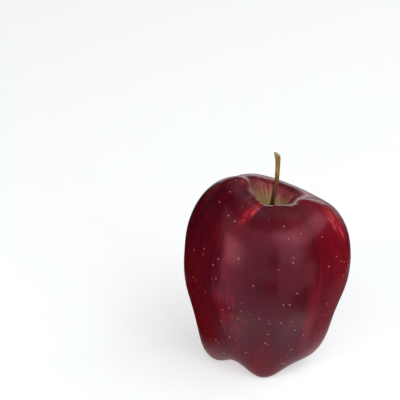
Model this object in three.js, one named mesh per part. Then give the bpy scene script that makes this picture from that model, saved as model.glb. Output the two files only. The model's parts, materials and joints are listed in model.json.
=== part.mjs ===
// A tall, five-lobed red dessert apple at life size, standing on the lobes of its base.
// Millimetres, +Z up. The origin is on the table, under the middle of the fruit's bounding box.
// The pieces are the fruit, which is one solid, the woody stem in its cavity, and the dried
// remains of the flower in the basin underneath: five sepals round a tuft of stamens.
import * as THREE from "three";

// ---------------------------------------------------------------- the fruit's sizes

const GIRTH_RADIUS = 38.5; // at the widest level
const GIRTH_HEIGHT = 55.6; // of that level above the table
const SHOULDER_HEIGHT = 87; // of the ring of crests round the stem cavity
const SHOULDER_RADIUS = 15.8; // of the same ring
const CAVITY_DEPTH = 18; // stem cavity, below SHOULDER_HEIGHT
const FOOT_RADIUS = 21.1; // of the ring of lobe tips that the fruit stands on
const BASIN_DEPTH = 11; // hollow in the base, from the table up to the calyx
const CALYX_RADIUS = 4.6; // of the flat disc that carries the dried flower
const FLANK_HEIGHT = 14; // from a lobe's tip up to where its rounded end meets the flank
const FLANK_RADIUS = 31; // at that height
const FLANK_FLARE = 0.22; // how far the flank leans outwards for each millimetre that it rises
const AXIS_LEAN = 3.9; // how far the core line has moved to +X when it reaches SHOULDER_HEIGHT
const CONTACT_PRESS = 0.45; // how much of a lobe's tip is flattened where it meets the table

// The five lobes, anticlockwise from above. Each one is this much more, in millimetres, than
// the sizes above say. `notch` is how much higher the base is in the valley after the lobe.
const LOBES = [
  { azimuth: -91, foot: 0.0, flank: -2.0, girth: 0.2, shoulder: -0.9, notch: 0.8 },
  { azimuth: -32, foot: 6.0, flank: 0.8, girth: 1.0, shoulder: -0.9, notch: 4.1 },
  { azimuth: 41, foot: 0.0, flank: 0.2, girth: -4.0, shoulder: -7.2, notch: 4.0 },
  { azimuth: 131, foot: 0.9, flank: 0.0, girth: 0.0, shoulder: 0.6, notch: 4.0 },
  { azimuth: 193, foot: 0.0, flank: 1.3, girth: 1.8, shoulder: 8.4, notch: 5.8 },
];

// What a valley between two lobes takes off the sizes of the lobes beside it.
const VALLEY = { foot: 2.4, flank: 1.0, girth: 0.3, shoulder: 0.4 };

// ---------------------------------------------------------------- the small pieces' sizes

const CLEARANCE = 0.3; // between the fruit and the pieces that have grown out of it
const STEM_LENGTH = 37.5; // above the floor of the cavity
const STEM_ROOT = 3; // below that floor, in the fruit
const STEM_FOOT_RADIUS = 1.45;
const STEM_WAIST_RADIUS = 1.08;
const STEM_TIP_RADIUS = 1.65; // of the knob where it broke from the spur
const STEM_LEAN = 3; // how far to +X its tip is of its foot
const STEM_BOW = 1.2; // how far beyond its tip it leans before it straightens
const SEPAL_LENGTH = 7;
const SEPAL_WIDTH = 2.7;
const SEPAL_THICKNESS = 0.6;
const SEPAL_RING_RADIUS = 3; // from the middle of the calyx to the middle of a sepal's base
const SEPAL_CURL = 3.2; // how far outwards a sepal's tip bends
const SEPAL_COUNT = 5;
const TUFT_LENGTH = 4.2;
const TUFT_RADIUS = 1.3;

// ---------------------------------------------------------------- how finely it is faceted

const AROUND = 72; // meridians of the fruit
const STEM_SIDES = 12;
const SEPAL_SIDES = 10;
// Steps of the fruit's meridian: calyx disc, basin, lobe end, flank, upper half, cavity, socket.
const MERIDIAN_STEPS = [1, 6, 8, 7, 9, 8, 1, 1];

// ---------------------------------------------------------------- helpers

// A smooth step from 0 to 1 as t goes from 0 to 1.
const ease = (t) => (1 - Math.cos(Math.PI * t)) / 2;

// The core line leans, so everything at this height is moved this far to +X.
const leanAt = (height) => (AXIS_LEAN * height) / SHOULDER_HEIGHT;

// The two lobes that an azimuth in degrees lies between, and how far it is from the first.
function lobesBeside(azimuth) {
  const turn = (from, to) => (((to - from) % 360) + 360) % 360;
  const i = LOBES.findIndex((lobe, n) => {
    const next = LOBES[(n + 1) % LOBES.length];
    return turn(lobe.azimuth, azimuth) < turn(lobe.azimuth, next.azimuth);
  });
  const [before, after] = [LOBES[i], LOBES[(i + 1) % LOBES.length]];
  const share = turn(before.azimuth, azimuth) / turn(before.azimuth, after.azimuth);
  return { before, after, share };
}

// The fruit's own sizes in one direction. Each eases from one lobe's to the next, and `valley`
// is 0 on the crest of a lobe and 1 midway between two.
function sizesAt(azimuth) {
  const { before, after, share } = lobesBeside(azimuth);
  const between = (key) => before[key] + (after[key] - before[key]) * ease(share);
  const valley = Math.sin(Math.PI * share) ** 2;
  return {
    footRadius: FOOT_RADIUS - VALLEY.foot * valley,
    footHeight: between("foot") + before.notch * valley - CONTACT_PRESS,
    flankRadius: FLANK_RADIUS + between("flank") - VALLEY.flank * valley,
    girthRadius: GIRTH_RADIUS + between("girth") - VALLEY.girth * valley,
    shoulderHeight: SHOULDER_HEIGHT + between("shoulder") - VALLEY.shoulder * valley,
  };
}

// Half of the fruit's outline in one direction: x is the distance from the core line and y the
// height. It runs from the calyx under the table's side, up the outside, and down the cavity.
function meridian(azimuth) {
  const s = sizesAt(azimuth);
  const cavityFloor = SHOULDER_HEIGHT - CAVITY_DEPTH;
  const socketRadius = STEM_FOOT_RADIUS + CLEARANCE;
  const socketFloor = cavityFloor - STEM_ROOT - CLEARANCE;
  const flankHeight = s.footHeight + FLANK_HEIGHT;
  const flankRise = GIRTH_HEIGHT - flankHeight;
  const upperRise = s.shoulderHeight - GIRTH_HEIGHT;
  const lobeHandle = FLANK_HEIGHT * 0.55;
  const between = (a, b, share) => a + (b - a) * share;

  const path = new THREE.Path();
  path.moveTo(0, BASIN_DEPTH);
  path.lineTo(CALYX_RADIUS, BASIN_DEPTH);
  // The basin's wall, down to the lobe's tip.
  path.bezierCurveTo(
    between(CALYX_RADIUS, s.footRadius, 0.35), BASIN_DEPTH,
    between(CALYX_RADIUS, s.footRadius, 0.75), s.footHeight,
    s.footRadius, s.footHeight,
  );
  // The lobe's rounded end.
  path.bezierCurveTo(
    between(s.footRadius, s.flankRadius, 0.53), s.footHeight,
    s.flankRadius - FLANK_FLARE * lobeHandle, flankHeight - lobeHandle,
    s.flankRadius, flankHeight,
  );
  // The flank, leaning outwards to the girth.
  path.bezierCurveTo(
    s.flankRadius + FLANK_FLARE * flankRise * 0.59, flankHeight + flankRise * 0.59,
    s.girthRadius, GIRTH_HEIGHT - flankRise * 0.39,
    s.girthRadius, GIRTH_HEIGHT,
  );
  // The upper half, closing over to the shoulder's crest.
  path.bezierCurveTo(
    s.girthRadius, GIRTH_HEIGHT + upperRise * 0.56,
    between(SHOULDER_RADIUS, s.girthRadius, 0.61), s.shoulderHeight,
    SHOULDER_RADIUS, s.shoulderHeight,
  );
  // The stem cavity, a funnel that ends at the stem.
  path.bezierCurveTo(
    SHOULDER_RADIUS * 0.5, s.shoulderHeight,
    between(socketRadius, SHOULDER_RADIUS, 0.22), cavityFloor + CAVITY_DEPTH * 0.12,
    socketRadius, cavityFloor,
  );
  // The socket in the flesh that holds the stem's root.
  path.lineTo(socketRadius, socketFloor);
  path.lineTo(0, socketFloor);

  const points = [new THREE.Vector2(0, BASIN_DEPTH)];
  path.curves.forEach((curve, i) => points.push(...curve.getPoints(MERIDIAN_STEPS[i]).slice(1)));
  return points;
}

// Moves a piece that was turned about the Z axis so that it follows a curve instead. The curve
// starts where z is 0, and the piece's own length is the curve's.
function bendAlong(geometry, curve) {
  const position = geometry.getAttribute("position");
  const length = curve.getLength();
  const [side, front, place] = [new THREE.Vector3(), new THREE.Vector3(), new THREE.Vector3()];
  for (let i = 0; i < position.count; i++) {
    const [x, y, z] = [position.getX(i), position.getY(i), position.getZ(i)];
    const along = THREE.MathUtils.clamp(z / length, 0, 1);
    const tangent = curve.getTangentAt(along);
    front.set(0, 1, 0).addScaledVector(tangent, -tangent.y).normalize();
    side.crossVectors(front, tangent);
    curve.getPointAt(along, place);
    place.addScaledVector(tangent, z - along * length);
    place.addScaledVector(side, x).addScaledVector(front, y);
    position.setXYZ(i, place.x, place.y, place.z);
  }
  return geometry;
}

// A solid turned about the Z axis from [radius, height] pairs, lowest first.
function turned(pairs, sides) {
  const points = pairs.map(([radius, height]) => new THREE.Vector2(radius, height));
  return new THREE.LatheGeometry(points, sides).rotateX(Math.PI / 2);
}

function material(colour, roughness) {
  return new THREE.MeshStandardMaterial({ color: colour, roughness, metalness: 0 });
}

function named(name, geometry, finish) {
  const mesh = new THREE.Mesh(geometry, finish);
  mesh.name = name;
  return mesh;
}

// ---------------------------------------------------------------- materials

const waxySkin = material(0x6d1226, 0.3);
const stemWood = material(0x7a6a2a, 0.7);
const driedSepal = material(0x5a4630, 0.9);
const driedStamen = material(0x3a2a1c, 0.9);

// ---------------------------------------------------------------- the fruit

// A turned solid whose every vertex is then moved to the meridian of its own direction.
function makeFruit() {
  const rows = meridian(0).length;
  const geometry = new THREE.LatheGeometry(meridian(0), AROUND);
  const position = geometry.getAttribute("position");
  for (let i = 0; i <= AROUND; i++) {
    const azimuth = (360 * (i % AROUND)) / AROUND;
    const angle = THREE.MathUtils.degToRad(azimuth);
    meridian(azimuth).forEach((point, row) => {
      const height = Math.max(point.y, 0);
      const x = point.x * Math.cos(angle) + leanAt(height);
      position.setXYZ(i * rows + row, x, point.x * Math.sin(angle), height);
    });
  }
  return named("fruit", geometry, waxySkin);
}

// ---------------------------------------------------------------- the stem

function makeStem() {
  const whole = STEM_ROOT + STEM_LENGTH;
  const knob = STEM_TIP_RADIUS;
  const geometry = turned(
    [
      [0, 0],
      [STEM_FOOT_RADIUS, 0],
      [STEM_FOOT_RADIUS, STEM_ROOT],
      [STEM_WAIST_RADIUS * 1.12, STEM_ROOT * 2.2],
      [STEM_WAIST_RADIUS, whole * 0.35],
      [STEM_WAIST_RADIUS, whole * 0.6],
      [STEM_WAIST_RADIUS * 1.15, whole - knob * 4.5],
      [knob * 0.86, whole - knob * 2],
      [knob, whole - knob * 0.7],
      [knob * 0.94, whole - knob * 0.1],
      [knob * 0.6, whole],
      [0, whole - knob * 0.15],
    ],
    STEM_SIDES,
  );
  const foot = SHOULDER_HEIGHT - CAVITY_DEPTH - STEM_ROOT;
  const tip = leanAt(foot) + STEM_LEAN;
  // It leaves its socket along the core line.
  const line = new THREE.CubicBezierCurve3(
    new THREE.Vector3(leanAt(foot), 0, foot),
    new THREE.Vector3(leanAt(foot + whole * 0.3), 0, foot + whole * 0.3),
    new THREE.Vector3(tip + STEM_BOW, 0, foot + whole * 0.65),
    new THREE.Vector3(tip, 0, foot + whole),
  );
  return named("stem", bendAlong(geometry, line), stemWood);
}

// ---------------------------------------------------------------- the dried flower

// It hangs from the calyx disc, so its pieces are made upwards and then turned over.
function makeSepal(n) {
  const half = SEPAL_WIDTH / 2;
  const geometry = turned(
    [
      [0, 0],
      [half * 0.8, 0],
      [half, SEPAL_LENGTH * 0.2],
      [half * 0.85, SEPAL_LENGTH * 0.45],
      [half * 0.5, SEPAL_LENGTH * 0.75],
      [half * 0.2, SEPAL_LENGTH * 0.95],
      [0, SEPAL_LENGTH],
    ],
    SEPAL_SIDES,
  ).scale(SEPAL_THICKNESS / SEPAL_WIDTH, 1, 1);
  const line = new THREE.QuadraticBezierCurve3(
    new THREE.Vector3(0, 0, 0),
    new THREE.Vector3(0, 0, SEPAL_LENGTH * 0.6),
    new THREE.Vector3(SEPAL_CURL, 0, SEPAL_LENGTH * 0.85),
  );
  const sepal = named(`sepal_${n + 1}`, bendAlong(geometry, line), driedSepal);
  sepal.position.set(SEPAL_RING_RADIUS, 0, 0);
  const place = new THREE.Group();
  place.add(sepal);
  place.rotation.z = (2 * Math.PI * n) / SEPAL_COUNT;
  return place;
}

function makeStamens() {
  const geometry = turned(
    [
      [0, 0],
      [TUFT_RADIUS * 0.8, 0],
      [TUFT_RADIUS, TUFT_LENGTH * 0.35],
      [TUFT_RADIUS * 0.6, TUFT_LENGTH * 0.8],
      [0, TUFT_LENGTH],
    ],
    SEPAL_SIDES,
  );
  return named("dried_stamens", geometry, driedStamen);
}

function makeFlower() {
  const flower = new THREE.Group();
  for (let n = 0; n < SEPAL_COUNT; n++) flower.add(makeSepal(n));
  flower.add(makeStamens());
  flower.rotation.x = Math.PI;
  flower.position.set(leanAt(BASIN_DEPTH), 0, BASIN_DEPTH - CLEARANCE);
  return flower;
}

// ---------------------------------------------------------------- the whole apple

const apple = new THREE.Group();
apple.add(makeFruit(), makeStem(), makeFlower());

// The origin goes under the middle of the bounding box.
const middle = new THREE.Box3().setFromObject(apple).getCenter(new THREE.Vector3());
apple.children.forEach((piece) => piece.position.sub(new THREE.Vector3(middle.x, middle.y, 0)));

export default apple;
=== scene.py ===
# %% [markdown]
# # A tall red apple on the lobes of its base
#
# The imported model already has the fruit's form and size. What it lacks is everything that the
# eye judges an apple by: a skin with no facets, the streaks that run from stem to calyx, the
# pale pores, the wax, a stem that looks like wood and a dried flower underneath. This lesson
# adds those, one piece at a time, without moving or resizing anything that the model fixes.

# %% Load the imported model
import json
import math
import random

import bpy
from mathutils import Matrix, Vector, noise

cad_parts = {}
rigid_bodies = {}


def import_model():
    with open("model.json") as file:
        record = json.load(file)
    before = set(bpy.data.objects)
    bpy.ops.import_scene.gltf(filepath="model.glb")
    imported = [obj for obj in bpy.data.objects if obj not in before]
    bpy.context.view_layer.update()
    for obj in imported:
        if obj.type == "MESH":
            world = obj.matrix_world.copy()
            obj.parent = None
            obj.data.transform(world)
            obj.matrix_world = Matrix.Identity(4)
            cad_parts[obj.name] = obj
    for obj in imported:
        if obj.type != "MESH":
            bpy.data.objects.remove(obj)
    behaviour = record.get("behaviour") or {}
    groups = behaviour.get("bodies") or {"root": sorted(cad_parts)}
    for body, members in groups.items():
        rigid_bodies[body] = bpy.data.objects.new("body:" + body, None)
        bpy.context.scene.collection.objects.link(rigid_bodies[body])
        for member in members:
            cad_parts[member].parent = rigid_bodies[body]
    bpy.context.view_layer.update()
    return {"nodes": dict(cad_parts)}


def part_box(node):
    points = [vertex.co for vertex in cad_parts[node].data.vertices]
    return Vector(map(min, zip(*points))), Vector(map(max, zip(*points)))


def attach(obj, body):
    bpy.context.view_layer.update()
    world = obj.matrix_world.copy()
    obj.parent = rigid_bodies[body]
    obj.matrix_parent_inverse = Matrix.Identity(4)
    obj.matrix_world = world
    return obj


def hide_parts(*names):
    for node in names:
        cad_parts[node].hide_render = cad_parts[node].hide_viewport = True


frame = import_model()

MM = 0.001

# %% [markdown]
# ## The core line
#
# An apple grows round a core that runs from the stem to the flower, and everything on its skin
# follows that line: the streaks, the furrows and the pores. This fruit's core leans a little.
# Both ends of it can be measured on the model, on the stamens below and on the stem's root.

# %% Find the core line
RING_REACH = 0.7 * MM  # corners this close in height belong to one ring
CORE_MIDDLE_HEIGHT = 46 * MM  # latitudes are measured from here


def ring_centre(node, height):
    """The middle of the ring of vertices of a CAD node that lies nearest to a height."""
    corners = {tuple(round(c, 7) for c in v.co) for v in frame["nodes"][node].data.vertices}
    nearest = min(corners, key=lambda c: abs(c[2] - height))[2]
    ring = [Vector(c) for c in corners if abs(c[2] - nearest) < RING_REACH]
    return sum(ring, Vector()) / len(ring)


stamens_low, stamens_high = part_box("dried_stamens")
stem_low, stem_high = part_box("stem")
fruit_low, fruit_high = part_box("fruit")
calyx = Vector(((stamens_low.x + stamens_high.x) / 2, (stamens_low.y + stamens_high.y) / 2,
                stamens_high.z))
stem_root = ring_centre("stem", stem_low.z)
core_slope = (stem_root.x - calyx.x) / (stem_root.z - calyx.z)
core_foot = Vector((calyx.x - core_slope * calyx.z, calyx.y, 0))
core_middle = core_foot + Vector((core_slope, 0, 1)) * CORE_MIDDLE_HEIGHT
print("The fruit is", (fruit_high.z - fruit_low.z) / MM, "mm tall")
print("The core leans", round(math.degrees(math.atan(core_slope)), 1), "degrees to +X")

# %% [markdown]
# ## The camera
#
# A long lens from almost a metre away, looking down by 29 degrees, keeps the fruit's upright
# lines parallel. The fruit stands low and to the right in the picture, so the camera is turned
# a little up and to the left of it. Turning it does that without any lens shift.

# %% Set up the camera
CAMERA_DROP = math.radians(29)
CAMERA_DISTANCE = 0.9
CAMERA_LENS = 172.5
TURNED_LEFT = math.radians(1.92)
TURNED_UP = math.radians(2.10)
AIM_HEIGHT = 45 * MM  # before it is turned, the camera aims this high above the core's foot

bpy.ops.object.camera_add()
camera = bpy.context.object
camera.data.lens = CAMERA_LENS
toward_camera = Vector((0, -math.cos(CAMERA_DROP), math.sin(CAMERA_DROP)))
level = Matrix.Rotation(math.pi / 2 - CAMERA_DROP, 4, "X")
turn = Matrix.Rotation(TURNED_LEFT, 4, "Y") @ Matrix.Rotation(TURNED_UP, 4, "X")
look_at = core_foot + Vector((0, 0, AIM_HEIGHT))
camera.matrix_world = Matrix.Translation(look_at + toward_camera * CAMERA_DISTANCE) @ level @ turn
bpy.context.scene.camera = camera
print("The camera stands at", camera.matrix_world.translation)

# %% [markdown]
# ## The fruit
#
# The model's fruit is a grid of flat facets, which shows as soon as light runs over it. It could
# be sculpted again from a sphere, but then its lobes would only be like the model's. Taking a
# copy of the solid, joining its loose triangles back into one sheet of quads, and letting a
# Subdivision Surface round them keeps every lobe where it is and gives one smooth skin.

# %% Make the fruit's surface smooth
WELD_DISTANCE = 0.01 * MM
QUAD_ANGLE = math.radians(70)  # how bent a pair of triangles may be to become one quad


def only(piece):
    """Selects one object, and nothing else, and makes it the active one."""
    bpy.ops.object.select_all(action="DESELECT")
    piece.select_set(True)
    bpy.context.view_layer.objects.active = piece


def merged_copy(node, name):
    """A new piece with a copy of a CAD node's mesh, its loose triangles joined into quads."""
    piece = bpy.data.objects.new(name, frame["nodes"][node].data.copy())
    bpy.context.collection.objects.link(piece)
    piece.data.name = name
    only(piece)
    bpy.ops.mesh.customdata_custom_splitnormals_clear()
    bpy.ops.object.mode_set(mode="EDIT")
    bpy.ops.mesh.select_all(action="SELECT")
    bpy.ops.mesh.remove_doubles(threshold=WELD_DISTANCE)
    bpy.ops.mesh.tris_convert_to_quads(face_threshold=QUAD_ANGLE, shape_threshold=QUAD_ANGLE)
    bpy.ops.object.mode_set(mode="OBJECT")
    return piece


def subdivide_smooth(piece, levels):
    """Rounds a piece with an applied Subdivision Surface and shades it smooth."""
    only(piece)
    bpy.ops.object.modifier_add(type="SUBSURF")
    piece.modifiers[-1].levels = levels
    piece.modifiers[-1].render_levels = levels
    bpy.ops.object.modifier_apply(modifier=piece.modifiers[-1].name)
    bpy.ops.object.shade_smooth()


apple = merged_copy("fruit", "apple_fruit")
quads = sum(len(face.vertices) == 4 for face in apple.data.polygons)
print("The copy has", quads, "quads and", len(apple.data.polygons) - quads, "other faces")
subdivide_smooth(apple, 2)
print("The smooth fruit has", len(apple.data.polygons), "faces")

# %% [markdown]
# ## Furrows and unevenness
#
# No apple is as regular as its model. Its flanks swell and sink by a few tenths of a
# millimetre, which is what makes reflections wander on it, and fine furrows fan out from the
# stem cavity and from the basin below. A sculptor would draw these with a brush. Here each
# vertex is pushed along its normal by amounts that depend on where it lies: its azimuth round
# the core, and its latitude, which runs from -90 degrees at the calyx to 90 at the stem.

# %% Sculpt the surface


def place_on_core(point):
    """A point's azimuth and latitude in degrees, and its distance from the core line."""
    x = point.x - core_foot.x - core_slope * point.z
    y = point.y - core_foot.y
    across = math.hypot(x, y)
    latitude = math.degrees(math.atan2(point.z - core_middle.z, across))
    return math.degrees(math.atan2(y, x)), latitude, across


def ramp(value, start, end):
    """0 before start, 1 after end, and smooth between them."""
    t = min(max((value - start) / (end - start), 0), 1)
    return t * t * (3 - 2 * t)


def furrows(azimuth, count, seed):
    """Uneven ridges and furrows round the core, from about -1 to 1."""
    angle = math.radians(azimuth)
    reach = count / (2 * math.pi)
    return noise.noise(Vector((math.cos(angle) * reach, math.sin(angle) * reach, seed)))


# How high each kind of unevenness is, and how wide.
SWELL, SWELL_SIZE = 0.35 * MM, 17 * MM
RIPPLE, RIPPLE_SIZE = 0.05 * MM, 5 * MM
FOOT_HEIGHT = 6 * MM  # both fade out below this, so that the fruit keeps standing on its feet
# How deep the furrows are, how many go round, and the place of their pattern in the noise.
CAVITY_FURROW, CAVITY_FURROW_COUNT, CAVITY_FURROW_SEED = 0.45 * MM, 34, 3.1
BASIN_FURROW, BASIN_FURROW_COUNT, BASIN_FURROW_SEED = 0.9 * MM, 22, 7.4
# A shallow groove runs down the upper front. Its azimuth and width are in degrees.
FRONT_GROOVE, GROOVE_AZIMUTH, GROOVE_WIDTH = 0.1 * MM, -80, 4.5
# The rim of the cavity rises and dips: the azimuth and width in degrees, and the rise in mm.
RIM_RADIUS, RIM_REACH = 14 * MM, 6 * MM
RIM_WAVES = [(-150, 16, -1.5), (-78, 22, 0.8), (-44, 16, -0.6)]


def pushed_out(point):
    """How far the real skin stands out from the smooth one at this point."""
    azimuth, latitude, across = place_on_core(point)
    # Each kind fades in and out with height, latitude or distance from the core.
    held = ramp(point.z, 0, FOOT_HEIGHT)
    push = SWELL * held * noise.noise(point / SWELL_SIZE)
    push += RIPPLE * held * noise.noise(point / RIPPLE_SIZE)
    in_cavity = ramp(latitude, 64, 78) * ramp(across, 2 * MM, 7 * MM)
    push += CAVITY_FURROW * in_cavity * furrows(azimuth, CAVITY_FURROW_COUNT, CAVITY_FURROW_SEED)
    in_basin = ramp(-latitude, 62, 72) * ramp(across, 3 * MM, 9 * MM)
    push += BASIN_FURROW * in_basin * furrows(azimuth, BASIN_FURROW_COUNT, BASIN_FURROW_SEED)
    on_rim = math.exp(-(((across - RIM_RADIUS) / RIM_REACH) ** 2)) * ramp(latitude, 50, 60)
    for middle, width, rise in RIM_WAVES:
        beside = (azimuth - middle) / width
        push += rise * MM * on_rim * math.exp(-beside * beside)
    beside_groove = (azimuth - GROOVE_AZIMUTH) / GROOVE_WIDTH
    upper_front = ramp(latitude, -12, 5) * ramp(-latitude, -55, -30)
    push -= FRONT_GROOVE * upper_front * math.exp(-beside_groove * beside_groove)
    return push


apple_mesh = apple.data
pushes = [pushed_out(vertex.co) for vertex in apple_mesh.vertices]
normals = [vertex.normal.copy() for vertex in apple_mesh.vertices]
for vertex, push, normal in zip(apple_mesh.vertices, pushes, normals):
    vertex.co += normal * push
    vertex.co.z = max(vertex.co.z, 0)
apple_mesh.update()
print("The skin was moved by", min(pushes) / MM, "to", max(pushes) / MM, "mm")
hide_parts("fruit")
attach(apple, "root")

# %% [markdown]
# ## The stem
#
# The stalk is a thin woody twig, thicker where it grows out of the core and at the knob where it
# parted from the branch. It is drawn out of a small circle, ring by ring: each extrusion is
# moved along the stalk's line, scaled to the width there and turned across it. The last ring is
# tilted, because the knob broke off at a slant, and then sunk in the middle.

# %% Draw the stem out of a circle
CLOSE_DISTANCE = 0.001 * MM


def add_circle(name, sides, radius, place):
    """A filled circle, all of it selected in edit mode, as the start of a new piece."""
    bpy.ops.object.select_all(action="DESELECT")
    bpy.ops.mesh.primitive_circle_add(
        vertices=sides, radius=radius, fill_type="NGON", location=place
    )
    piece = bpy.context.object
    piece.name = name
    piece.data.name = name
    bpy.ops.object.transform_apply(location=True, rotation=True, scale=True)
    bpy.ops.object.mode_set(mode="EDIT")
    bpy.ops.mesh.select_all(action="SELECT")
    return piece


def extrude_to(here, there, growth, tilt):
    """Extrudes the selected end from one centre to the next, and scales and tilts it there."""
    bpy.ops.mesh.extrude_region_move(TRANSFORM_OT_translate={"value": there - here})
    bpy.ops.transform.resize(value=(growth, growth, growth), center_override=there)
    if tilt:
        bpy.ops.transform.rotate(value=tilt, orient_axis="Y", center_override=there)
    return there


def close_up(piece):
    """Leaves edit mode with one closed surface whose faces point out."""
    bpy.ops.mesh.select_all(action="SELECT")
    bpy.ops.mesh.remove_doubles(threshold=CLOSE_DISTANCE)
    bpy.ops.mesh.normals_make_consistent(inside=False)
    bpy.ops.object.mode_set(mode="OBJECT")
    return piece


STEM_SIDES = 14
STEM_ROOT_RADIUS = 1.4  # in mm, as below
# From the root up. Each ring has a share of the stem's height, its radius in mm, its turn from
# the ring before in degrees, and how far it bows away from the model's line, in mm. Its centre
# is that of the model's ring nearest to the share. Two rings that get the same centre make a
# small step in width, which the smoothing rounds off.
STEM_RINGS = [
    (0.08, 1.45, 0, -0.1),
    (0.16, 1.25, 2, -0.35),
    (0.28, 1.12, 3, -0.7),
    (0.42, 1.06, 3, -0.75),
    (0.56, 1.04, 1, -0.4),
    (0.68, 1.06, 0, 0),
    (0.80, 1.12, 0, 0.1),
    (0.88, 1.26, 4, 0.1),
    (0.925, 1.44, 6, 0.05),
    (0.958, 1.74, 9, -0.05),
    (0.968, 1.86, 6, -0.1),
]
# The broken end, from its edge inwards: the width of each inset and how far it rises, in mm.
STEM_END = [(0.12, 0.04), (0.3, -0.05), (0.4, -0.4)]

stem_height = stem_high.z - stem_low.z
stem = add_circle("apple_stem", STEM_SIDES, STEM_ROOT_RADIUS * MM, stem_root)
here, radius = stem_root, STEM_ROOT_RADIUS
for share, next_radius, turned, bow in STEM_RINGS:
    there = ring_centre("stem", stem_low.z + stem_height * share) + Vector((bow * MM, 0, 0))
    here = extrude_to(here, there, next_radius / radius, -math.radians(turned))
    radius = next_radius
for width, rise in STEM_END:
    bpy.ops.mesh.inset(thickness=width * MM, depth=rise * MM)
close_up(stem)
subdivide_smooth(stem, 2)
stem_peak = max(vertex.co.z for vertex in stem.data.vertices)
print("The stem has", len(stem.data.polygons), "faces and ends", stem_peak / MM, "mm up")
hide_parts("stem")
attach(stem, "root")

# %% [markdown]
# ## The dried flower
#
# Under the fruit, in its basin, the five sepals of the blossom are still there: small leaves
# that dried and curled back round the withered stamens. One sepal is enough to model. It starts
# as a strip that is narrowed to its tip, cupped and bent outwards, and is then thickened. The
# other four are made in the same way, turned round the core and each bent a little differently.

# %% Make the sepals
SEPAL_COUNT = 5
SEPAL_ROWS = 12
SEPAL_COLUMNS = 6
SEPAL_THICKNESS = 0.35 * MM
SEPAL_TIP = 0.08 * MM  # half the width of the tip
SEPAL_CURL = 3.0 * MM  # how far the tip curls out
SEPAL_CUP = 0.5 * MM  # how far the edges stand out from the middle at the base
SEPAL_CRINKLE = 0.18 * MM

sepal_boxes = [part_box(f"sepal_{n + 1}") for n in range(SEPAL_COUNT)]
sepal_length = sepal_boxes[0][1].z - sepal_boxes[0][0].z
sepal_width = sepal_boxes[0][1].y - sepal_boxes[0][0].y
sepal_outset = sepal_boxes[0][0].x - calyx.x


def make_sepal(n):
    """One curled sepal, hanging from the calyx in the place of its CAD node."""
    wild = random.Random(n)
    low, high = sepal_boxes[n]
    middle = (low + high) / 2 - calyx
    heading = math.atan2(middle.y, middle.x)
    curl = wild.uniform(0.75, 1.1)
    twist = wild.uniform(-0.25, 0.25)
    bpy.ops.object.select_all(action="DESELECT")
    bpy.ops.mesh.primitive_grid_add(
        x_subdivisions=SEPAL_ROWS, y_subdivisions=SEPAL_COLUMNS, size=1
    )
    piece = bpy.context.object
    piece.name = f"curled_sepal_{n + 1}"
    piece.data.name = piece.name
    for vertex in piece.data.vertices:
        along, across = vertex.co.x + 0.5, vertex.co.y * 2
        half = sepal_width * 0.5 * (1 - along**2.2) * (0.8 + 0.5 * along) + SEPAL_TIP
        out = sepal_outset + SEPAL_CURL * curl * along**2 + SEPAL_CUP * across**2 * (1 - along)
        down = sepal_length * (along - 0.16 * along**3)
        side = half * across + twist * MM * along * 2
        crinkle = SEPAL_CRINKLE * noise.noise(Vector((along * 5, across * 2, n * 9.0)))
        vertex.co = Vector((out + crinkle, side, -down))
    piece.data.transform(Matrix.Translation(calyx) @ Matrix.Rotation(heading, 4, "Z"))
    only(piece)
    bpy.ops.object.modifier_add(type="SOLIDIFY")
    piece.modifiers[-1].thickness = SEPAL_THICKNESS
    piece.modifiers[-1].offset = 0
    bpy.ops.object.modifier_apply(modifier=piece.modifiers[-1].name)
    subdivide_smooth(piece, 1)
    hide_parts(f"sepal_{n + 1}")
    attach(piece, "root")
    return piece


sepals = [make_sepal(n) for n in range(SEPAL_COUNT)]
print("The sepals have", [len(s.data.polygons) for s in sepals], "faces")

# %% [markdown]
# ## The stamens
#
# Between the sepals stands what is left of the stamens: a tuft of dark threads, each with the
# dried knob of its anther. One thread is drawn out of a hexagon, bent and given its knob. It
# is then repeated, longer or shorter, until the tuft is as full as the model's solid.

# %% Make the tuft of stamens
STAMEN_COUNT = 19
GOLDEN_ANGLE = math.radians(137.5)
THREAD_SIDES = 6
THREAD_RADIUS = 0.11 * MM
ROOTS_REACH = 0.45  # the threads start within this share of the tuft's radius
# From the calyx down: share of the thread's length, growth in width, and lean outwards as a
# share of the tuft's radius. The last three rings make the knob.
THREAD_RINGS = [(0.4, 0.9, 0.1), (0.8, 0.9, 0.35), (0.86, 2.0, 0.38), (0.95, 1.15, 0.42),
                (1.0, 0.4, 0.45)]

tuft_radius = (stamens_high.x - stamens_low.x) / 2
tuft_length = stamens_high.z - stamens_low.z


def add_stamen(n):
    """One dried thread of the tuft, as a piece of its own."""
    wild = random.Random(100 + n)
    heading = n * GOLDEN_ANGLE
    spread = math.sqrt((n + 0.5) / STAMEN_COUNT)
    out = Vector((math.cos(heading), math.sin(heading), 0))
    length = tuft_length * wild.uniform(0.7, 0.95)
    here = calyx + out * tuft_radius * ROOTS_REACH * spread
    piece = add_circle(f"stamen_{n + 1}", THREAD_SIDES, THREAD_RADIUS, here)
    for share, growth, lean in THREAD_RINGS:
        there = calyx + out * tuft_radius * spread * (ROOTS_REACH + lean)
        there -= Vector((0, 0, length * share))
        here = extrude_to(here, there, growth, 0)
    return close_up(piece)


threads = [add_stamen(n) for n in range(STAMEN_COUNT)]
bpy.ops.object.select_all(action="DESELECT")
for thread in threads:
    thread.select_set(True)
bpy.context.view_layer.objects.active = threads[0]
bpy.ops.object.join()
tuft = bpy.context.object
tuft.name = "stamen_tuft"
tuft.data.name = "stamen_tuft"
bpy.ops.object.shade_smooth()
print("The tuft has", STAMEN_COUNT, "threads and", len(tuft.data.polygons), "faces")
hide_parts("dried_stamens")
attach(tuft, "root")

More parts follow.
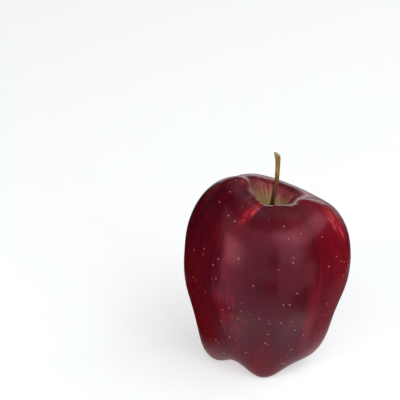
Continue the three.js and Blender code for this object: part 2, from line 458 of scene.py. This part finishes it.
# %% [markdown]
# ## How the materials are written
#
# Every material is a small network of nodes. One helper adds a node, sets its sockets and links
# what feeds it, so that each line below reads as one step of the recipe.

# %% Helpers for materials


def srgb(text):
    """An sRGB hex colour as the linear one that the shader needs."""
    parts = [int(text[i : i + 2], 16) / 255 for i in (1, 3, 5)]
    return [p / 12.92 if p <= 0.04045 else ((p + 0.055) / 1.055) ** 2.4 for p in parts] + [1]


def add(tree, kind, sockets=None, **settings):
    """Adds a node. A socket's value is a number or colour, or the output that feeds it."""
    node = tree.nodes.new(kind)
    for key, value in settings.items():
        setattr(node, key, value)
    for key, value in (sockets or {}).items():
        if isinstance(value, bpy.types.NodeSocket):
            tree.links.new(value, node.inputs[key])
        else:
            node.inputs[key].default_value = value
    return node


def new_material(name):
    """An empty material and its tree."""
    material = bpy.data.materials.new(name)
    material.use_nodes = True
    material.node_tree.nodes.clear()
    return material, material.node_tree


def maths(tree, operation, *values):
    """The result of a Math node on numbers or outputs."""
    return add(tree, "ShaderNodeMath", dict(enumerate(values)), operation=operation).outputs[0]


def blended(tree, amount, below, above):
    """One colour laid over another by an amount."""
    node = add(tree, "ShaderNodeMix", {0: amount, 6: below, 7: above}, data_type="RGBA")
    return node.outputs[2]


def stepped(tree, value, start, end):
    """An output that goes smoothly from 0 at start to 1 at end."""
    sockets = {"Value": value, "From Min": start, "From Max": end}
    node = add(tree, "ShaderNodeMapRange", sockets, interpolation_type="SMOOTHSTEP")
    return node.outputs[0]


def cloudy(tree, place, size, detail):
    """Noise whose patches are as wide as size."""
    sockets = {"Vector": place, "Scale": 1 / size, "Detail": detail}
    return add(tree, "ShaderNodeTexNoise", sockets).outputs[0]


def finished(piece, material):
    """Gives a piece its one material."""
    piece.data.materials.clear()
    piece.data.materials.append(material)


# %% [markdown]
# ## Where a point lies on the skin
#
# The skin's pattern follows the core line, just as the furrows do. These helpers work out each
# point's azimuth and latitude, draw streaks along the meridians, scatter pores, and mark out a
# patch or a whole side of the fruit.

# %% Helpers for the skin


def around_and_along(tree):
    """Object coordinates, direction, azimuth and latitude in degrees, and distance from the core."""
    place = add(tree, "ShaderNodeTexCoord").outputs["Object"]
    centred = add(tree, "ShaderNodeMapping", {
        "Vector": place,
        "Location": core_middle,
        "Rotation": (0, math.atan(core_slope), 0),
    }, vector_type="TEXTURE").outputs[0]
    x, y, z = add(tree, "ShaderNodeSeparateXYZ", {0: centred}).outputs
    flat = add(tree, "ShaderNodeCombineXYZ", {"X": x, "Y": y}).outputs[0]
    across = add(tree, "ShaderNodeVectorMath", {0: flat}, operation="LENGTH").outputs["Value"]
    direction = add(tree, "ShaderNodeVectorMath", {0: flat}, operation="NORMALIZE").outputs[0]
    azimuth = maths(tree, "MULTIPLY", maths(tree, "ARCTAN2", y, x), 180 / math.pi)
    latitude = maths(tree, "MULTIPLY", maths(tree, "ARCTAN2", z, across), 180 / math.pi)
    return place, direction, azimuth, latitude, across


def streaks(tree, direction, latitude, count, length, detail=3.0, roughness=0.55, lift=0.0):
    """Noise drawn out along the meridians: so many streaks round the fruit, so many degrees long."""
    ring = add(tree, "ShaderNodeVectorMath", {0: direction, "Scale": count / (2 * math.pi)},
               operation="SCALE").outputs[0]
    rise = add(tree, "ShaderNodeCombineXYZ", {
        "Z": maths(tree, "MULTIPLY_ADD", latitude, 1 / length, lift),
    }).outputs[0]
    where = add(tree, "ShaderNodeVectorMath", {0: ring, 1: rise}, operation="ADD").outputs[0]
    sockets = {"Vector": where, "Scale": 1.0, "Detail": detail, "Roughness": roughness}
    return add(tree, "ShaderNodeTexNoise", sockets).outputs[0]


def pores(tree, place, spacing, radius, softness):
    """1 in the middle of each pore and 0 between them."""
    cells = add(tree, "ShaderNodeTexVoronoi", {"Vector": place, "Scale": 1 / spacing})
    distance = maths(tree, "MULTIPLY", cells.outputs["Distance"], spacing)
    return stepped(tree, distance, radius, radius * (1 - softness))


def patch(tree, azimuth, latitude, centre, reach, slant):
    """1 round a point of given azimuth and latitude, and 0 beyond its reach in each of them.

    The patch climbs by its slant, in degrees of latitude for each degree of azimuth.
    """
    beside = maths(tree, "SUBTRACT", azimuth, centre[0])
    above = maths(tree, "SUBTRACT", latitude, centre[1])
    above = maths(tree, "MULTIPLY_ADD", beside, -slant, above)
    sideways = maths(tree, "DIVIDE", beside, reach[0])
    upwards = maths(tree, "DIVIDE", above, reach[1])
    squares = maths(tree, "MULTIPLY_ADD", sideways, sideways,
                    maths(tree, "MULTIPLY", upwards, upwards))
    return stepped(tree, squares, 1.0, 0.1)


def side(tree, direction, azimuth, reach):
    """1 on the side of the fruit that faces an azimuth, and 0 beyond its reach in degrees."""
    a = math.radians(azimuth)
    facing = add(tree, "ShaderNodeVectorMath", {0: direction, 1: (math.cos(a), math.sin(a), 0)},
                 operation="DOT_PRODUCT").outputs["Value"]
    return stepped(tree, facing, math.cos(math.radians(reach)), 1.0)


# %% [markdown]
# ## Waxed apple skin
#
# The skin is a clear waxy film over cells full of red pigment. The pigment lies in streaks that
# run from the stem to the calyx. It is thin in a few places on the shoulders, and gives way to
# pink and then to yellow-green down in the cavity. Small pale pores break it. Painted light is
# laid into the colour too: a painted highlight makes those thin places glow a clear red, two
# pink stripes on the front are painted highlights, both flanks are painted a clearer red for the
# light from the sides, and the front is painted deeper as painted shade. To the eye it is deep
# and a little moist: the cells' own reflection is soft and pink, and the film lays a weaker,
# colourless one over it.

# %% Waxed apple skin
SPECK_SIZE = 2.38 * MM  # blotches that break up the bright places
DIMPLE_SIZE = 1.11 * MM  # coarser than the real ones, which are too fine to be seen from here
BLOOM_SIZE = 8.33 * MM  # patches where the wax is rubbed brighter
PORE_SPACING, PORE_RADIUS = 3.9 * MM, 0.5 * MM
FINE_PORE_SPACING, FINE_PORE_RADIUS = 3.0 * MM, 0.26 * MM
# How many streaks go round the fruit, and how many degrees of latitude each is long. The finest
# are 1.3 mm wide at the girth. They are drawn coarser than the real ones, which are too fine to
# be seen from here.
BROAD_STREAKS, MEDIUM_STREAKS = (9, 60), (55, 34)
FINE_STREAKS, PALE_STROKES = (190, 22), (120, 15)

skin, tree = new_material("waxed apple skin")
place, direction, azimuth, latitude, across = around_and_along(tree)

broad = streaks(tree, direction, latitude, *BROAD_STREAKS, 2.0)
medium = streaks(tree, direction, latitude, *MEDIUM_STREAKS, 3.0, 0.6, 5.0)
fine = streaks(tree, direction, latitude, *FINE_STREAKS, 3.0, 0.6, 9.0)
strokes = streaks(tree, direction, latitude, *PALE_STROKES, 4.0, 0.65, 2.0)
specks = cloudy(tree, place, SPECK_SIZE, 2.0)

# Crimson pigment, deeper and lighter in streaks.
colour = blended(tree, stepped(tree, broad, 0.3, 0.68), srgb("#480118"), srgb("#66020f"))
colour = blended(tree, maths(tree, "MULTIPLY", stepped(tree, medium, 0.6, 0.32), 0.6),
                 colour, srgb("#340110"))
colour = blended(tree, maths(tree, "MULTIPLY", stepped(tree, fine, 0.5, 0.75), 0.5),
                 colour, srgb("#700818"))

# Painted side light: the right and the left flank are painted a clearer red, each up to so many
# degrees from its middle.
painted_right_light = maths(tree, "MULTIPLY", side(tree, direction, -8, 52), stepped(tree, latitude, -75, -25))
colour = blended(tree, maths(tree, "MULTIPLY", painted_right_light, 0.9), colour, srgb("#84061c"))
painted_left_light = maths(tree, "MULTIPLY", side(tree, direction, 185, 44), stepped(tree, latitude, 45, 15))
colour = blended(tree, maths(tree, "MULTIPLY", painted_left_light, 0.8), colour, srgb("#6c0008"))

# Painted shade: the front is painted a deeper red.
painted_front_shade = maths(tree, "MULTIPLY", side(tree, direction, -88, 38), stepped(tree, latitude, 50, 35))
painted_front_shade = maths(tree, "MULTIPLY", painted_front_shade, stepped(tree, latitude, -75, -25))
colour = blended(tree, maths(tree, "MULTIPLY", painted_front_shade, 0.6), colour, srgb("#36010e"))

# Painted highlight: two long stripes beside the front lobe are painted pinker. Each has its
# azimuth and latitude, and its reach in both.
for centre, reach in (((-123, -10), (12, 48)), ((-52, -12), (14, 50))):
    highlight_stripe = patch(tree, azimuth, latitude, centre, reach, 0)
    highlight_stripe = maths(tree, "MULTIPLY", highlight_stripe, stepped(tree, medium, 0.36, 0.62))
    colour = blended(tree, maths(tree, "MULTIPLY", highlight_stripe, 0.6), colour, srgb("#820e28"))

# On the shoulders the pigment is thin in a few places, and the yellow ground warms it. Their
# clearer red is partly that and partly painted light, and a painted highlight glows in their
# middles. Each has its azimuth and latitude, its reach in both, its slant and its strength.
thin_and_lit_places = [((-114, 62), (10.5, 9.5), 1.0, 1.0), ((-24, 46), (12, 15), 0, 1.3),
               ((30, 54), (28, 18), 0.3, 0.6), ((112, 56), (34, 18), -0.3, 0.6)]
thin_and_lit = 0.0
for centre, reach, slant, strength in thin_and_lit_places:
    found = patch(tree, azimuth, latitude, centre, reach, slant)
    found = maths(tree, "MULTIPLY", found, strength)
    thin_and_lit = maths(tree, "MAXIMUM", thin_and_lit, found)
# Painted highlight: the glow in the middle of each place, broken up by streaks and specks.
broken = maths(tree, "MULTIPLY", stepped(tree, fine, 0.32, 0.66), stepped(tree, specks, 0.36, 0.62))
glow = maths(tree, "MULTIPLY", maths(tree, "MULTIPLY", thin_and_lit, thin_and_lit), broken)
colour = blended(tree, maths(tree, "MULTIPLY", thin_and_lit, 0.6), colour, srgb("#9a1220"))
colour = blended(tree, glow, colour, srgb("#cc3e4a"))

# The cavity: a pink-red wall with fine pale strokes, and a yellow-green floor with ragged edges.
inside = stepped(tree, latitude, 55, 62)
ragged = maths(tree, "MULTIPLY_ADD", strokes, 12 * MM, maths(tree, "ADD", across, -6 * MM))
wall = maths(tree, "MULTIPLY", inside, stepped(tree, ragged, 17 * MM, 12 * MM))
colour = blended(tree, wall, colour, srgb("#84202e"))
pale = maths(tree, "MULTIPLY", wall, stepped(tree, fine, 0.55, 0.7))
colour = blended(tree, maths(tree, "MULTIPLY", pale, 0.75), colour, srgb("#cc9c90"))
ground = maths(tree, "MULTIPLY", inside, stepped(tree, ragged, 12 * MM, 5.5 * MM))
colour = blended(tree, maths(tree, "MULTIPLY", ground, 0.9), colour, srgb("#bca264"))
veins = maths(tree, "MULTIPLY", ground, stepped(tree, fine, 0.48, 0.36))
colour = blended(tree, maths(tree, "MULTIPLY", veins, 0.45), colour, srgb("#7c3428"))
green = maths(tree, "MULTIPLY", inside, stepped(tree, ragged, 7 * MM, 3 * MM))
colour = blended(tree, green, colour, srgb("#7c8c28"))

# The base browns a little, and the basin's ground colour shows round the calyx.
colour = blended(tree, stepped(tree, latitude, -48, -66), colour, srgb("#571018"))
basin = maths(tree, "MULTIPLY_ADD", medium, -16.0, maths(tree, "ADD", latitude, 8.0))
colour = blended(tree, stepped(tree, basin, -70, -75), colour, srgb("#8a4a30"))
colour = blended(tree, stepped(tree, basin, -76, -84), colour, srgb("#9a8a44"))

# Pores: few and larger above, many and finer towards the base.
large_pores = pores(tree, place, PORE_SPACING, PORE_RADIUS, 0.7)
small_pores = pores(tree, place, FINE_PORE_SPACING, FINE_PORE_RADIUS, 0.7)
low_down = stepped(tree, latitude, 10, -45)
out_of_cavity = maths(tree, "SUBTRACT", 1.0, wall)
pore = maths(tree, "MAXIMUM", large_pores, maths(tree, "MULTIPLY", small_pores, low_down))
pore = maths(tree, "MULTIPLY", pore, out_of_cavity)
colour = blended(tree, maths(tree, "MULTIPLY", pore, 0.9), colour, srgb("#d08484"))

height = maths(tree, "MULTIPLY_ADD", pore, 0.5, cloudy(tree, place, DIMPLE_SIZE, 2.0))
relief = add(tree, "ShaderNodeBump", {"Height": height, "Strength": 0.1, "Distance": 0.1 * MM})
roughness = add(tree, "ShaderNodeMapRange", {
    "Value": cloudy(tree, place, BLOOM_SIZE, 3.0), "To Min": 0.24, "To Max": 0.32,
}).outputs[0]
# Plant wax has an index of about 1.45, and polished fruit a roughness between 0.2 and 0.35.
shader = add(tree, "ShaderNodeBsdfPrincipled", {
    "Base Color": colour,
    "Roughness": roughness,
    "IOR": 1.45,
    "Specular IOR Level": 0.7,
    "Specular Tint": (1.0, 0.22, 0.32, 1),
    "Normal": relief.outputs[0],
    "Coat Weight": 0.2,
    "Coat Roughness": 0.21,
    "Coat IOR": 1.45,
    "Subsurface Weight": 0.08,
    "Subsurface Radius": (1.0, 0.25, 0.15),
    "Subsurface Scale": 1.5 * MM,
})
add(tree, "ShaderNodeOutputMaterial", {"Surface": shader.outputs[0]})
finished(apple, skin)

# %% [markdown]
# ## Stalk wood
#
# The stalk is thin bark over wood, dull to the eye. Its root in the cavity is painted dark, as
# painted shade. It is red-brown and speckled half way, and olive-yellow at the knob, where the
# sun reached it. Fibres run along it, and the broken end is pale.

# %% Stalk wood
SPECKLE_SIZE = 0.91 * MM
FIBRE_WIDTH = 0.455 * MM  # coarser than the real ones, which are too fine to be seen from here
FIBRE_STRETCH = 0.12  # how much slower the pattern changes along the stalk than across it

wood, tree = new_material("apple stalk bark")
place = add(tree, "ShaderNodeTexCoord").outputs["Object"]
height = add(tree, "ShaderNodeSeparateXYZ", {0: place}).outputs[2]
share = maths(tree, "DIVIDE", maths(tree, "SUBTRACT", height, stem_low.z), stem_height)
speckle = cloudy(tree, place, SPECKLE_SIZE, 3.0)
drawn_out = add(tree, "ShaderNodeMapping", {
    "Vector": place, "Scale": (1, 1, FIBRE_STRETCH),
}).outputs[0]
fibres = cloudy(tree, drawn_out, FIBRE_WIDTH, 2.0)
# Painted shade: the stalk is darkest at its root, down in the cavity.
wandering = maths(tree, "MULTIPLY_ADD", speckle, 0.25, maths(tree, "ADD", share, -0.125))
bark = blended(tree, stepped(tree, wandering, 0.3, 0.52), srgb("#2e2418"), srgb("#7a4824"))
bark = blended(tree, stepped(tree, wandering, 0.6, 0.8), bark, srgb("#a8862c"))
bark = blended(tree, stepped(tree, fibres, 0.45, 0.7), bark, srgb("#4a3218"))
half_way = maths(tree, "MULTIPLY", stepped(tree, share, 0.3, 0.45), stepped(tree, share, 0.85, 0.7))
spots = maths(tree, "MULTIPLY", stepped(tree, speckle, 0.56, 0.64), half_way)
bark = blended(tree, maths(tree, "MULTIPLY", spots, 0.8), bark, srgb("#301810"))
facing_up = add(tree, "ShaderNodeSeparateXYZ", {
    0: add(tree, "ShaderNodeNewGeometry").outputs["Normal"],
}).outputs[2]
at_end = stepped(tree, share, 0.93, 0.96)
broken_end = maths(tree, "MULTIPLY", at_end, stepped(tree, facing_up, 0.35, 0.7))
bark = blended(tree, broken_end, bark, srgb("#b4a488"))
relief = add(tree, "ShaderNodeBump", {
    "Height": fibres, "Strength": 0.6, "Distance": 0.15 * MM,
})
# Raw bark is rough, between 0.5 and 0.8.
shader = add(tree, "ShaderNodeBsdfPrincipled", {
    "Base Color": bark, "Roughness": 0.6, "Normal": relief.outputs[0],
})
add(tree, "ShaderNodeOutputMaterial", {"Surface": shader.outputs[0]})
finished(stem, wood)

# %% [markdown]
# ## Dried leaf and dried thread
#
# The sepals are dry, downy leaf: grey-brown, quite matt and mottled with darker spots. The
# stamens are brittle threads of a darker brown.

# %% Dried leaf and dried thread
LEAF_MOTTLE_SIZE = 1.11 * MM
THREAD_MOTTLE_SIZE = 0.625 * MM


def dry_material(name, light, dark, size):
    """A matt material that is mottled with two colours, in spots as wide as size."""
    material, tree = new_material(name)
    place = add(tree, "ShaderNodeTexCoord").outputs["Object"]
    mottle = cloudy(tree, place, size, 4.0)
    dry = blended(tree, stepped(tree, mottle, 0.35, 0.65), srgb(light), srgb(dark))
    relief = add(tree, "ShaderNodeBump", {
        "Height": mottle, "Strength": 0.7, "Distance": 0.2 * MM,
    })
    shader = add(tree, "ShaderNodeBsdfPrincipled", {
        "Base Color": dry,
        "Roughness": 0.85,
        "Normal": relief.outputs[0],
        "Sheen Weight": 0.3,
        "Sheen Roughness": 0.5,
    })
    add(tree, "ShaderNodeOutputMaterial", {"Surface": shader.outputs[0]})
    return material


dried_leaf = dry_material("dried sepal leaf", "#8a7a5c", "#4a3a26", LEAF_MOTTLE_SIZE)
for sepal in sepals:
    finished(sepal, dried_leaf)
dried_thread = dry_material("dried stamen thread", "#4a3622", "#241810", THREAD_MOTTLE_SIZE)
finished(tuft, dried_thread)

# %% [markdown]
# ## The studio
#
# A glossy fruit shows its studio in its skin, so the studio is built like a photographer's. The
# floor is a lit table, which stays pale without a hard light from above.

# %% The floor
FLOOR_SIZE = 8  # in metres
CLOUD_SIZE = 16.7 * MM
TABLE_GLOW = 0.5
TABLE_GLOW_IN_GLOSS = 0.18  # what the fruit's skin mirrors of it, as if through a polariser

paper, tree = new_material("white lit table")
place = add(tree, "ShaderNodeTexCoord").outputs["Object"]
tone = blended(tree, cloudy(tree, place, CLOUD_SIZE, 3.0), srgb("#e8e8e8"), srgb("#f0f0f0"))
in_gloss = add(tree, "ShaderNodeLightPath").outputs["Is Glossy Ray"]
glow = maths(tree, "MULTIPLY_ADD", in_gloss, TABLE_GLOW_IN_GLOSS - TABLE_GLOW, TABLE_GLOW)
shader = add(tree, "ShaderNodeBsdfPrincipled", {
    "Base Color": tone,
    "Roughness": 0.8,
    "Specular IOR Level": 0.2,
    "Emission Color": srgb("#ffffff"),
    "Emission Strength": glow,
})
add(tree, "ShaderNodeOutputMaterial", {"Surface": shader.outputs[0]})

bpy.ops.object.select_all(action="DESELECT")
bpy.ops.mesh.primitive_plane_add(size=FLOOR_SIZE)
floor = bpy.context.object
floor.name = "floor"
finished(floor, paper)
print("The floor is", FLOOR_SIZE, "m wide")

# %% [markdown]
# ## The lights
#
# Two tall diffusers stand in front and lay a soft veil over the middle of the fruit. The slot
# between them is dark, with a dim panel behind it. A narrow bright strip on the left draws the
# fruit's shoulder. The others light the right shoulder, the top and the far rim.

# %% Soft lights
COOL_WHITE = (0.8, 1.0, 1.12)
WHITE = (1, 1, 1)
# Each has its name, azimuth and elevation in degrees, distance, width and height in metres,
# brightness and colour.
PANELS = [
    ("left_diffuser", -27, 32, 1.4, 1.55, 1.75, 0.75, WHITE),
    ("left_strip", -46, 14, 1.15, 0.36, 0.64, 2.6, WHITE),
    ("slot_backing", 8, 30, 1.7, 1.2, 1.9, 0.1, WHITE),
    ("right_diffuser", 30.5, 33, 1.4, 0.72, 1.75, 1.7, COOL_WHITE),
    ("right_top_diffuser", 80, 48, 1.4, 1.8, 0.75, 1.6, WHITE),
    ("overhead_diffuser", 75, 77, 1.35, 1.7, 0.8, 0.3, WHITE),
    ("back_diffuser", 180, 6, 1.5, 1.1, 0.26, 1.7, WHITE),
    ("back_top_diffuser", 170, 58, 1.4, 1.2, 0.9, 0.3, WHITE),
]


def toward(azimuth, elevation):
    """A direction from the fruit. Azimuth 0 is the camera's side and 90 is to its right."""
    a, e = math.radians(azimuth), math.radians(elevation)
    return Vector((math.sin(a) * math.cos(e), -math.cos(a) * math.cos(e), math.sin(e)))


def add_panel(name, azimuth, elevation, distance, width, height, brightness, colour):
    """A soft rectangular light that faces the fruit, as bright as white paper times brightness."""
    out = toward(azimuth, elevation)
    bpy.ops.object.light_add(type="AREA", location=core_middle + out * distance)
    panel = bpy.context.object
    panel.name = name
    panel.rotation_euler = out.to_track_quat("Z", "Y").to_euler()
    panel.data.shape = "RECTANGLE"
    panel.data.size = width
    panel.data.size_y = height
    panel.data.energy = brightness * math.pi * width * height
    panel.data.color = colour
    panel.visible_camera = False


for panel in PANELS:
    add_panel(*panel)
print("The studio has", len(PANELS), "lights")

# %% [markdown]
# ## Black flags
#
# Feathered black cards round the fruit keep the table's white out of its flanks, where the deep
# colour then stays clear. Two stand at its sides and the others lie on the table, hardly above
# it. They are only there for reflections: they cast no shadow and are not seen themselves. One
# deepens the slot between the diffusers, and the two smallest leave a dark reflection in the
# middle of the front.

# %% Black flags
FLAG_LIFT = 0.4 * MM
HARD = 0.1  # the feather of an edge that stays sharp


def add_flag(name, centre, size, feather, opacity, turned=0, upright=False):
    """A feathered black card that is seen in reflections only. Its lengths are in mm.

    It lies on the table, or stands on it if it is upright, and its size is then width and height.
    """
    bpy.ops.object.select_all(action="DESELECT")
    bpy.ops.mesh.primitive_plane_add(size=1)
    flag = bpy.context.object
    flag.name = name
    flag.data.transform(Matrix.Diagonal((size[0] * MM, size[1] * MM, 1, 1)))
    lift = size[1] / 2 * MM if upright else FLAG_LIFT
    flag.location = (centre[0] * MM, centre[1] * MM, lift)
    flag.rotation_euler = (math.pi / 2 if upright else 0, 0, math.radians(turned))
    cloth, tree = new_material(name.replace("_", " ") + " cloth")
    place = add(tree, "ShaderNodeTexCoord").outputs["Object"]
    x, y, _ = add(tree, "ShaderNodeSeparateXYZ", {0: place}).outputs
    left = stepped(tree, x, -size[0] / 2 * MM, (feather[0] - size[0] / 2) * MM)
    right = stepped(tree, x, size[0] / 2 * MM, (size[0] / 2 - feather[1]) * MM)
    near = stepped(tree, y, -size[1] / 2 * MM, (feather[2] - size[1] / 2) * MM)
    far = stepped(tree, y, size[1] / 2 * MM, (size[1] / 2 - feather[3]) * MM)
    cover = opacity
    for edge in (left, right, near, far):
        cover = maths(tree, "MULTIPLY", cover, edge)
    clear = add(tree, "ShaderNodeBsdfTransparent")
    black = add(tree, "ShaderNodeBsdfDiffuse", {"Color": srgb("#000000")})
    shader = add(tree, "ShaderNodeMixShader", {0: cover, 1: clear.outputs[0], 2: black.outputs[0]})
    add(tree, "ShaderNodeOutputMaterial", {"Surface": shader.outputs[0]})
    finished(flag, cloth)
    flag.visible_camera = False
    flag.visible_diffuse = False
    flag.visible_transmission = False
    flag.visible_shadow = False


# Feathers go left, right, near and far.
add_flag("left_flag", (-110, 100), (340, 110), (HARD, HARD, HARD, 30), 1.0, -90, upright=True)
add_flag("left_low_flag", (-70, 70), (84, 260), (HARD, 18, 25, 60), 1.0)
add_flag("right_flag", (105, 25), (244, 100), (22, 40, HARD, 30), 1.0, 90, upright=True)
add_flag("right_low_flag", (66, -6), (80, 212), (24, HARD, 26, 40), 0.85)
add_flag("back_flag", (0, 235), (340, 350), (40, 40, 30, 60), 0.85)
add_flag("slot_flag", (62, -380), (50, 440), (22, 22, 60, 60), 0.8, 12)
add_flag("lens_flag", (9, -172), (64, 104), (14, 14, 20, 20), 1.0)
add_flag("lens_shade_flag", (-35, -172), (120, 70), (30, 30, 20, 20), 0.6)
flags = [piece.name for piece in bpy.data.objects if piece.name.endswith("_flag")]
print("The flags are", flags)

# %% [markdown]
# ## The room
#
# The camera sees a white wall behind the table, but the room gives hardly any light of its own.

# %% The world
WALL_BRIGHTNESS = 0.92
ROOM_BRIGHTNESS = 0.07

world = bpy.data.worlds.new("studio")
bpy.context.scene.world = world
world.use_nodes = True
tree = world.node_tree
tree.nodes.clear()
straight = add(tree, "ShaderNodeLightPath").outputs["Is Camera Ray"]
brightness = maths(tree, "MULTIPLY_ADD", straight, WALL_BRIGHTNESS - ROOM_BRIGHTNESS,
                   ROOM_BRIGHTNESS)
background = add(tree, "ShaderNodeBackground", {"Color": srgb("#ffffff"), "Strength": brightness})
add(tree, "ShaderNodeOutputWorld", {"Surface": background.outputs[0]})
bpy.context.scene.view_settings.view_transform = "Standard"
